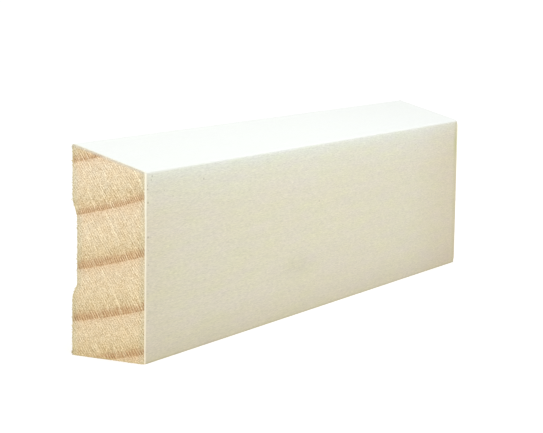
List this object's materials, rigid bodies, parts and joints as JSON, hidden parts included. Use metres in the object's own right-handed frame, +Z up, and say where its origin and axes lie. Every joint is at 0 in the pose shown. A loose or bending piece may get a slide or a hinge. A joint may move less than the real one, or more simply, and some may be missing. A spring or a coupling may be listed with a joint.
{
  "type": "skirting board",
  "caption": "Short straight length of bevelled skirting board with a relieved back, primed on its face and top, bare softwood behind and on the sawn ends.",
  "frame": {"origin": "middle of the underside, which stands on the floor", "axes": "+X along the board, +Y out of the back towards the wall, +Z up; the face that shows looks to -Y"},
  "size_m": [0.15, 0.017, 0.0419],
  "materials": {
    "primed_pine": "warm white primer, matt, over planed pine; the sawn ends, back and underside are bare"
  },
  "bodies": {
    "root": {"skirting_board": "primed_pine"}
  },
  "joints": []
}
